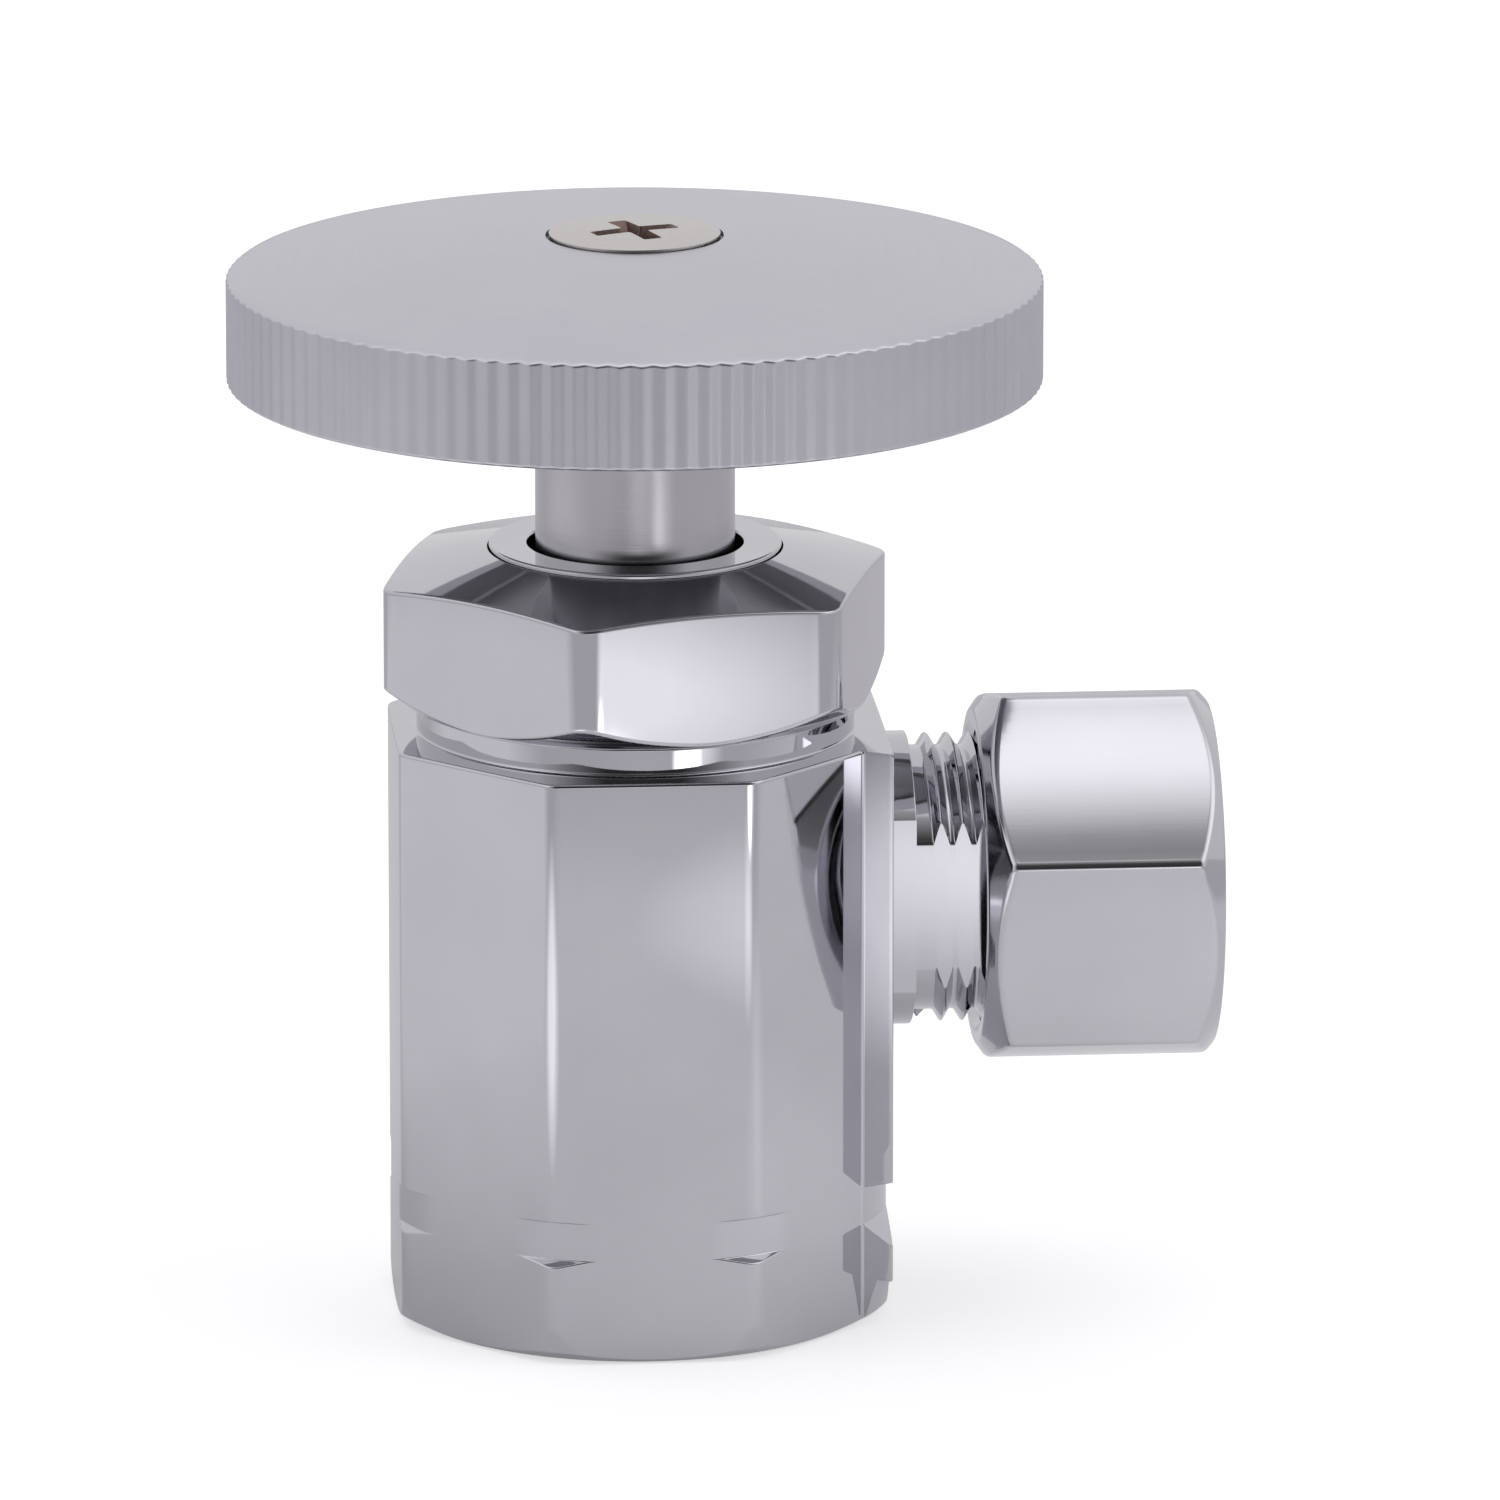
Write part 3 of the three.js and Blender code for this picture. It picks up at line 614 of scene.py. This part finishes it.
def nut_mesh():
    angles, bar = bar_columns(hexagon(NUT_ACROSS_FLATS, NUT_CORNER_TURN), NUT_CORNER, NUT_BULGE)
    start, end = NUT_LOW[0], NUT_HIGH[0]
    bore = OUTLET_THREAD_RADIUS + THREAD_GAP
    bore_end = start + NUT_BORE_DEPTH
    return along_outlet(turned("compression_nut_hex", angles, [
        (bore, start + NUT_LEAD, CRISP),
        (bore + NUT_LEAD, start, CRISP),
        (NUT_INNER_FACE[0], start, NUT_FACE_EDGE),
        (bar, start + chamfer(bar, NUT_INNER_FACE), NUT_INNER_EDGE),
        (bar, end - chamfer(bar, NUT_OUTER_FACE), NUT_OUTER_EDGE),
        (NUT_OUTER_FACE[0], end, NUT_FACE_EDGE),
        (TUBE_BORE + NUT_LEAD, end, CRISP),
        (TUBE_BORE, end - NUT_LEAD, CRISP),
        (TUBE_BORE, bore_end + NUT_CONE_LENGTH, CRISP),
        (FERRULE_RADIUS + FERRULE_ROOM, bore_end, CRISP),
        (bore, bore_end, CRISP),
    ]))


def ferrule_mesh():
    start, end = FERRULE_LOW[0], FERRULE_HIGH[0]
    bore = TUBE_RADIUS + SLIP / 2
    return along_outlet(turned("ferrule_ring", circle_columns(), [
        (bore, start, CRISP),
        (FERRULE_END_RADIUS, start, CRISP),
        (FERRULE_RADIUS, start + FERRULE_SHOULDERS[0], FERRULE_EDGE),
        (FERRULE_RADIUS, end - FERRULE_SHOULDERS[1], FERRULE_EDGE),
        (FERRULE_END_RADIUS, end, CRISP),
        (bore, end, CRISP),
    ]))


# ---------------------------------------------------------------- bonnet

BONNET_ACROSS_FLATS = 22.8
BONNET_CORNER_TURN = math.radians(14.7)
BONNET_CORNER = 0.9
BONNET_BULGE = 0.04
BONNET_TOP_FACE = (7.3, math.radians(12.3))
BONNET_FOOT_FACE = (11.4, math.radians(37))
GLAND_FLOOR = 0.65
STEM_THREAD_RADIUS = 5.9
STEM_BORE = STEM_THREAD_RADIUS + THREAD_GAP
BONNET_TOP = BONNET_HIGH[2]
GLAND_BOTTOM = BONNET_FOOT + GLAND_FLOOR
BUSH_RADIUS = BUSH_HIGH[0]
GLAND_BORE = BUSH_RADIUS + SLIP


def bonnet_mesh():
    angles, bar = bar_columns(hexagon(BONNET_ACROSS_FLATS, BONNET_CORNER_TURN), BONNET_CORNER, BONNET_BULGE)
    return turned("bonnet_hex", angles, [
        (STEM_BORE, SKIRT_BOTTOM, CRISP),
        (SKIRT_RADIUS, SKIRT_BOTTOM, CRISP),
        (SKIRT_RADIUS, BONNET_FOOT, CRISP),
        (BONNET_FOOT_FACE[0], BONNET_FOOT, CRISP),
        (bar, BONNET_FOOT + chamfer(bar, BONNET_FOOT_FACE), SOFT),
        (bar, BONNET_TOP - chamfer(bar, BONNET_TOP_FACE), SOFT),
        (BONNET_TOP_FACE[0], BONNET_TOP, 0),
        (GLAND_BORE, BONNET_TOP, 0),
        (GLAND_BORE, GLAND_BOTTOM, CRISP),
        (STEM_BORE, GLAND_BOTTOM, CRISP),
    ])


# ---------------------------------------------------------------- gland

PACKING_LENGTH = 2.6
PACKING_GROOVE = 0.4
PACKING_WASHER = 0.8
BUSH_GAP = 0.41
STEM_RADIUS = 4.91
BUSH_EDGE = 0.12


def gasket_mesh():
    low = NECK_TOP - GASKET_THICKNESS
    return turned("gasket", circle_columns(), [
        (SKIRT_RADIUS + SLIP, low, CRISP),
        (SKIRT_RADIUS + GASKET_WALL, low, CRISP),
        (SKIRT_RADIUS + GASKET_WALL, NECK_TOP - FACE_GAP / 2, CRISP),
        (SKIRT_RADIUS + SLIP, NECK_TOP - FACE_GAP / 2, CRISP),
    ])


def packing_washer_mesh():
    low = GLAND_BOTTOM + FACE_GAP
    return turned("thrust_washer", circle_columns(), [
        (STEM_RADIUS + 2 * SLIP, low, CRISP),
        (BUSH_RADIUS, low, CRISP),
        (BUSH_RADIUS, low + PACKING_WASHER, CRISP),
        (STEM_RADIUS + 2 * SLIP, low + PACKING_WASHER, CRISP),
    ])


def packing_mesh():
    low = GLAND_BOTTOM + PACKING_WASHER + 2 * FACE_GAP
    high = low + PACKING_LENGTH
    inner = STEM_RADIUS + SLIP
    return turned("packing", circle_columns(), [
        (inner, low, SOFT),
        (BUSH_RADIUS, low, SOFT),
        (BUSH_RADIUS, high, CRISP),
        ((inner + BUSH_RADIUS) / 2, high - PACKING_GROOVE, SOFT),
        (inner, high, CRISP),
    ])


def bush_mesh():
    bore = STEM_RADIUS + BUSH_GAP
    return turned("gland_ring", circle_columns(), [
        (bore, BUSH_LOW[2], CRISP),
        (BUSH_RADIUS, BUSH_LOW[2], CRISP),
        (BUSH_RADIUS, BUSH_HIGH[2], BUSH_EDGE),
        (bore, BUSH_HIGH[2], BUSH_EDGE),
    ])


# ---------------------------------------------------------------- stem

STEM_THREAD_DEPTH = 0.7
STEM_PITCH = 2
STEM_TURNS = 2
STEM_SHOULDER = HANDLE_LOW[2] - FACE_GAP
STEM_THREAD_END = GLAND_BOTTOM - 5 * FACE_GAP
STEM_SOCKET = 2.75
STEM_SOCKET_LENGTH = 3.1
SPLINE_RADIUS = 3.9
SPLINE_DEPTH = 0.4
SPLINE_TEETH = 18
SPLINE_COLUMNS = 8          # to a tooth
SCREW_RADIUS = 2.05
SCREW_REACH = 10.6
SHANK_RADIUS = 2.4


def stem_mesh():
    angles = circle_columns(SPLINE_TEETH * SPLINE_COLUMNS)
    spline = teeth(angles, SPLINE_TEETH, SPLINE_RADIUS, SPLINE_RADIUS - SPLINE_DEPTH)
    root = STEM_THREAD_RADIUS - STEM_THREAD_DEPTH
    thread_start = STEM_THREAD_END - (STEM_TURNS + 1) * STEM_PITCH
    hole = SCREW_RADIUS + SLIP
    return turned("stem_turned", angles, [
        (STEM_SOCKET, STEM_LOW[2], CRISP),
        (root, STEM_LOW[2], CRISP),
        (root, thread_start, 0),
        Thread(thread_start, STEM_PITCH, STEM_TURNS, root, STEM_THREAD_RADIUS),
        (root, STEM_THREAD_END, 0),
        (STEM_RADIUS, STEM_THREAD_END, 0),
        (STEM_RADIUS, STEM_SHOULDER, SOFT),
        (spline, STEM_SHOULDER, 0),
        (spline, STEM_HIGH[2], CRISP),
        (hole, STEM_HIGH[2], CRISP),
        (hole, STEM_HIGH[2] - SCREW_REACH, 0),
        (0, STEM_HIGH[2] - SCREW_REACH, 0),
        (0, STEM_LOW[2] + STEM_SOCKET_LENGTH, 0),
        (STEM_SOCKET, STEM_LOW[2] + STEM_SOCKET_LENGTH, 0),
    ])


# ---------------------------------------------------------------- valve disc

HOLDER_LOW, HOLDER_HIGH = extent("disc_holder")
DISC_LOW, DISC_HIGH = extent("seat_washer")
CLIP_LOW, CLIP_HIGH = extent("holder_clip")
CUP_LOW, CUP_HIGH = extent("washer_cup")
SHANK_LENGTH = 3.2
CLIP_DEPTH = 0.5
TAPPED_RADIUS = 1.23
TAPPED_LENGTH = 6.2


def holder_mesh():
    cup_top = HOLDER_HIGH[2] - SHANK_LENGTH
    recess = DISC_HIGH[0] + SLIP
    neck = SHANK_RADIUS - CLIP_DEPTH
    return turned("holder", circle_columns(), [
        (recess, HOLDER_LOW[2], CRISP),
        (HOLDER_HIGH[0], HOLDER_LOW[2], SOFT),
        (HOLDER_HIGH[0], cup_top, SOFT),
        (SHANK_RADIUS, cup_top, SOFT),
        (SHANK_RADIUS, CLIP_LOW[2] - FACE_GAP, 0),
        (neck, CLIP_LOW[2] - FACE_GAP, 0),
        (neck, CLIP_HIGH[2] + FACE_GAP, 0),
        (SHANK_RADIUS, CLIP_HIGH[2] + FACE_GAP, 0),
        (SHANK_RADIUS, HOLDER_HIGH[2], SOFT),
        (0, HOLDER_HIGH[2], 0),
        (0, DISC_LOW[2] + TAPPED_LENGTH, 0),
        (TAPPED_RADIUS, DISC_LOW[2] + TAPPED_LENGTH, 0),
        (TAPPED_RADIUS, DISC_HIGH[2] + FACE_GAP, CRISP),
        (recess, DISC_HIGH[2] + FACE_GAP, CRISP),
    ])


def ring_mesh(name, inner, low, high, setback):
    """A plain ring between two corners of its CAD node's box."""
    return turned(name, circle_columns(), [
        (inner, low[2], setback),
        (high[0], low[2], setback),
        (high[0], high[2], setback),
        (inner, high[2], setback),
    ])


# ---------------------------------------------------------------- handle

RIB_COUNT = 116
RIB_COLUMNS = 10
RIB_DEPTH = 0.1
RIB_EDGE = 0.08
RIM_EDGE = 0.3
RIM_SLOPE = 0.5
RIM_WALL = 2.8
CROWN_RISE = 2.05
CROWN_STEPS = 24
PLATE_THICKNESS = 1.85      # at the rim
PLATE_FILLET = 0.5
HUB_RADIUS = 6.2
HUB_ROOF = 0.5
SCREW_HEAD_RADIUS = 4.2
SCREW_EDGE = 0.35
SCREW_DOME = 0.15
SCREW_CONE = 2.1
SCREW_TOP = SCREW_HIGH[2]
SCREW_CONE_TOP = SCREW_TOP - SCREW_DOME - SCREW_EDGE
HANDLE_RADIUS = HANDLE_HIGH[0]
RIM_RISE = 2.05             # of its lower edge over the stem's shoulder
RIM_LENGTH = 5.3
RIM_BOTTOM = STEM_SHOULDER + RIM_RISE
RIM_TOP = RIM_BOTTOM + RIM_LENGTH
PLATE_BOTTOM = RIM_TOP - PLATE_THICKNESS


def crown_height(radius):
    return RIM_TOP + CROWN_RISE * (1 - (radius / HANDLE_RADIUS) ** 2)


def handle_mesh():
    angles = circle_columns(RIB_COUNT * RIB_COLUMNS)
    ribs = teeth(angles, RIB_COUNT, HANDLE_RADIUS, HANDLE_RADIUS - RIB_DEPTH)
    face = HANDLE_RADIUS - RIM_EDGE
    inner = HANDLE_RADIUS - RIM_WALL
    hub_bottom = STEM_SHOULDER + FACE_GAP
    bore = SPLINE_RADIUS + SLIP
    roof = STEM_HIGH[2] + HUB_ROOF
    seat = SCREW_HEAD_RADIUS + 2 * SLIP
    hole = SCREW_RADIUS + THREAD_GAP
    crown = [(radius, crown_height(radius), 0) for radius in np.linspace(face, seat, CROWN_STEPS)]
    mesh = turned("handwheel", angles, [
        (bore, hub_bottom, CRISP),
        (HUB_RADIUS, hub_bottom, SOFT),
        (HUB_RADIUS, PLATE_BOTTOM, PLATE_FILLET),
        (inner, PLATE_BOTTOM, PLATE_FILLET),
        (inner, RIM_BOTTOM, SOFT),
        (face, RIM_BOTTOM, CRISP),
        (ribs, RIM_BOTTOM + (ribs - face) * RIM_SLOPE, RIB_EDGE),
        (ribs, RIM_TOP - (ribs - face) * RIM_SLOPE, RIB_EDGE),
        *crown,
        (seat, SCREW_CONE_TOP - SLIP, 0),
        (hole, SCREW_CONE_TOP - SCREW_CONE - SLIP, 0),
        (hole, roof, 0),
        (bore, roof, 0),
    ])
    # Faces under the plate take the second material, whose darker colour is painted shade under the
    # handwheel.
    for polygon in mesh.polygons:
        x, y, z = polygon.center
        if z < PLATE_BOTTOM + CRISP and math.hypot(x, y) < inner + CRISP:
            polygon.material_index = SECOND_MATERIAL
    return mesh


# ---------------------------------------------------------------- handle screw

CROSS_REACH = 2.2
CROSS_HALF_WIDTH = 0.48
CROSS_TURN = math.radians(20.5)
CROSS_FLOOR = ((0, 1.5), (0.3, 1.35), (0.62, 0.75))     # share of the cross's outline, depth
DOME_STEPS = 8
CROSS_SPACING = 0.1


def cross_outline():
    corners = []
    for arm in range(4):
        turn = CROSS_TURN + arm * math.pi / 2
        along = np.array([math.cos(turn), math.sin(turn)])
        across = np.array([-along[1], along[0]])
        corners += [
            CROSS_REACH * along - CROSS_HALF_WIDTH * across,
            CROSS_REACH * along + CROSS_HALF_WIDTH * across,
            CROSS_HALF_WIDTH * (along + across),
        ]
    return corners


def screw_mesh():
    angles, cross = bar_columns(cross_outline(), SOFT, spacing=CROSS_SPACING)
    rim_height = SCREW_TOP - SCREW_DOME

    def dome(radius):
        return rim_height + SCREW_DOME * (1 - (radius / SCREW_HEAD_RADIUS) ** 2)

    face = []
    for share in np.linspace(0, 1, DOME_STEPS + 1):
        radius = cross + (SCREW_HEAD_RADIUS - cross) * share
        face.append((radius, dome(radius), 0))
    mesh = turned("handwheel_screw", angles, [
        *[(cross * share, SCREW_TOP - depth, 0) for share, depth in CROSS_FLOOR],
        *face,
        (SCREW_HEAD_RADIUS, SCREW_CONE_TOP, CRISP),
        (SCREW_RADIUS, SCREW_CONE_TOP - SCREW_CONE, CRISP),
        (SCREW_RADIUS, SCREW_LOW[2], CRISP),
        (0, SCREW_LOW[2], 0),
    ])
    for polygon in mesh.polygons:
        x, y, z = polygon.center
        within_cross = math.hypot(x, y) < CROSS_REACH
        if within_cross and SCREW_CONE_TOP - SCREW_CONE < z < dome(CROSS_REACH) - CRISP:
            polygon.material_index = SECOND_MATERIAL
    return mesh


# ---------------------------------------------------------------- the valve

piece(whole_body_mesh(), "body", "polished_chrome", CHROME)
piece(nut_mesh(), "compression_nut", "polished_chrome", BRUSHED)
piece(ferrule_mesh(), "ferrule", "raw_brass", BRASS)
piece(bonnet_mesh(), "bonnet", "polished_chrome", CHROME)
piece(gasket_mesh(), "bonnet_gasket", "red_fibre", FIBRE)
piece(packing_washer_mesh(), "packing_washer", "raw_brass", BRASS)
piece(packing_mesh(), "packing_ring", "black_rubber", RUBBER)
piece(bush_mesh(), "gland_bush", "polished_chrome", CHROME)
piece(stem_mesh(), "stem", "turned_chrome", TURNED)
piece(holder_mesh(), "disc_holder", "raw_brass", BRASS)
piece(ring_mesh("clip", SHANK_RADIUS - CLIP_DEPTH + SLIP, CLIP_LOW, CLIP_HIGH, CRISP),
      "holder_clip", "spring_steel", SPRING)
piece(ring_mesh("seat_disc", TAPPED_RADIUS, DISC_LOW, DISC_HIGH, SOFT),
      "seat_washer", "black_rubber", RUBBER)
piece(ring_mesh("cup", TAPPED_RADIUS, CUP_LOW, CUP_HIGH, SOFT), "washer_cup", "raw_brass", BRASS)
# The handwheel's second material paints shade on its underside.
piece(handle_mesh(), "handle", "satin_chrome", SATIN, SHADED_UNDERSIDE)
piece(screw_mesh(), "handle_screw", "nickel", NICKEL, TARNISH)

washer_screw = frame["nodes"]["washer_screw"]
washer_screw.data.materials.clear()
washer_screw.data.materials.append(BRASS)


# ---------------------------------------------------------------- studio

FLOOR_SIDE = 4000
FLOOR_FRONT = 300           # the sweep ends this far in front of the valve
LOOK_AT = Vector((5.6216, -0.4431, 27.9308)) * MM
CAMERA_AZIMUTH = -4.5
CAMERA_ELEVATION = 14.2
CAMERA_DISTANCE = 800 * MM
LENS = 389.8
SENSOR_WIDTH = 36
NEAREST = 0.01              # the camera's clipping distances, in metres
FARTHEST = 20
FLOOR_ROUGHNESS = 0.9
BACKDROP = 1.03             # brightness of the world to the camera
BACKDROP_COLOUR = (0.99, 0.985, 1.0)
LEAST_GLOW = 0.02           # the tent is nowhere darker than this

# azimuth, distance, radius inside which a pool is full, radius where it ends, strength
POOLS = [
    (27, 145, 10, 36, 0.8),         # the bonnet's bright flat
    (22, 128, 12, 18, 1.8),         # the highlight on the neck
    (22, 180, 8, 20, 0.7),          # the highlight on the stem
    (17, 100, 6, 25, 0.55),         # the body's right-hand edge
    (5, 60, 42, 80, 0.2),           # the body's front flat
    (95, 75, 50, 90, 0.18),         # the flat beside the outlet
    (-36, 82, 16, 36, 0.65),        # the lug
    (-95, 110, 50, 90, 0.28),       # the left-hand flat
    (0, 230, 30, 62, 0.6),          # the rim
]
FLOOR_COLOUR = (0.71, 0.70, 0.72)
FLOOR_LIFT = 0.55           # what the camera sees over the floor's own shade

# azimuth, elevation, angle inside which a softbox or dark card is full, angle where it ends, strength
GLOWS = [
    (0, 26, 22, 54, -0.75),
    (0, 84, 4, 18, 0.75),
    (70, 45, 15, 30, 0.6),
    (-70, 45, 15, 30, 0.3),
]
TENT = (0.78, 0.85)         # brightness at the horizon and overhead


def direction(azimuth, elevation):
    """The way out from the valve: azimuth 0 is -Y, 90 is +X."""
    a, e = math.radians(azimuth), math.radians(elevation)
    return Vector((math.sin(a) * math.cos(e), -math.cos(a) * math.cos(e), math.sin(e)))


def add_floor():
    """A pale floor, seen white, with soft pools of light that only the metal mirrors."""
    half = FLOOR_SIDE * MM / 2
    front = -FLOOR_FRONT * MM
    mesh = bpy.data.meshes.new("floor")
    mesh.from_pydata([(-half, front, 0), (half, front, 0), (half, half, 0), (-half, half, 0)],
                     [], [(0, 1, 2, 3)])
    floor = bpy.data.objects.new("floor", mesh)
    bpy.context.scene.collection.objects.link(floor)
    made, shader = principled("floor_card", 0.0)
    shader.inputs["Roughness"].default_value = FLOOR_ROUGHNESS
    shader.inputs["Specular IOR Level"].default_value = 0.0
    shader.inputs["Base Color"].default_value = (*FLOOR_COLOUR, 1)
    place = add(made, "TexCoord").outputs["Object"]
    light = None
    for azimuth, distance, inner, outer, strength in POOLS:
        centre = direction(azimuth, 0) * distance * MM
        away = add(made, "VectorMath", {0: place, 1: centre}, operation="DISTANCE").outputs["Value"]
        pool = spread(made, away, strength, 0, inner * MM, outer * MM)
        light = pool if light is None else add(made, "Math", {0: light, 1: pool}).outputs["Value"]
    seen = add(made, "LightPath").outputs["Is Camera Ray"]
    strength = add(made, "Mix", {"Factor": seen, 2: light, 3: FLOOR_LIFT}).outputs[0]
    shader.inputs["Emission Color"].default_value = (1, 1, 1, 1)
    wire(made, strength, shader, "Emission Strength")
    mesh.materials.append(made)


def add_world():
    """White to the camera, and a soft tent of light to everything else."""
    world = bpy.data.worlds.new("tent")
    bpy.context.scene.world = world
    world.use_nodes = True
    background = world.node_tree.nodes["Background"]
    place = add(world, "TexCoord").outputs["Generated"]
    height = add(world, "SeparateXYZ", {"Vector": place}).outputs["Z"]
    light = spread(world, height, *TENT, 0, 1)
    for azimuth, elevation, inner, outer, strength in GLOWS:
        inputs = {0: place, 1: direction(azimuth, elevation)}
        facing = add(world, "VectorMath", inputs, operation="DOT_PRODUCT").outputs["Value"]
        edges = [math.cos(math.radians(angle)) for angle in (outer, inner)]
        glow = spread(world, facing, 0, strength, *edges)
        light = add(world, "Math", {0: light, 1: glow}).outputs["Value"]
    light = add(world, "Math", {0: light, 1: LEAST_GLOW}, operation="MAXIMUM").outputs["Value"]
    seen = add(world, "LightPath").outputs["Is Camera Ray"]
    strength = add(world, "Mix", {"Factor": seen, 2: light, 3: BACKDROP}).outputs[0]
    world.node_tree.links.new(strength, background.inputs["Strength"])
    background.inputs["Color"].default_value = (*BACKDROP_COLOUR, 1)


def add_camera():
    data = bpy.data.cameras.new("camera")
    data.lens = LENS
    data.sensor_width = SENSOR_WIDTH
    data.clip_start = NEAREST
    data.clip_end = FARTHEST
    camera = bpy.data.objects.new("camera", data)
    back = direction(CAMERA_AZIMUTH, CAMERA_ELEVATION)
    camera.location = LOOK_AT + back * CAMERA_DISTANCE
    camera.rotation_mode = "QUATERNION"
    camera.rotation_quaternion = (-back).to_track_quat("-Z", "Y")
    bpy.context.scene.collection.objects.link(camera)
    bpy.context.scene.camera = camera


add_floor()
add_world()
add_camera()
bpy.context.scene.view_settings.view_transform = "Standard"
